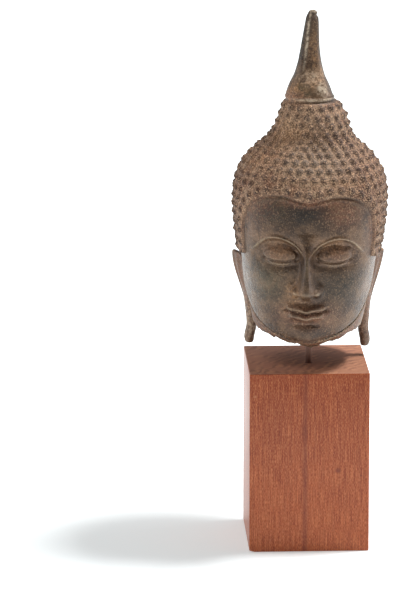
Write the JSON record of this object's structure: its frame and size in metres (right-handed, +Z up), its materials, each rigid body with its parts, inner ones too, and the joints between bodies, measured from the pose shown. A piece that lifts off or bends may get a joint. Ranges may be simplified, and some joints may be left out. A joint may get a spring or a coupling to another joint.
{
  "type": "buddha head",
  "caption": "Cast bronze head of a Buddha with tight curls, a swelling crown and a flame finial, broken at the neck and carried by a steel rod in a square hardwood block.",
  "frame": {"origin": "centre of the wooden block's underside", "axes": "+Z up along the rod, -Y towards the block's front face, which the bronze face looks over"},
  "size_m": [0.0989, 0.1108, 0.3374],
  "materials": {
    "bronze": "old brown bronze patina, earthy in the curls and rubbed dark on the face",
    "steel": "dull browned steel",
    "hardwood": "oiled reddish tropical hardwood, satin"
  },
  "bodies": {
    "root": {"bronze_head": "bronze", "steel_rod": "steel", "wooden_block": "hardwood"}
  },
  "joints": []
}
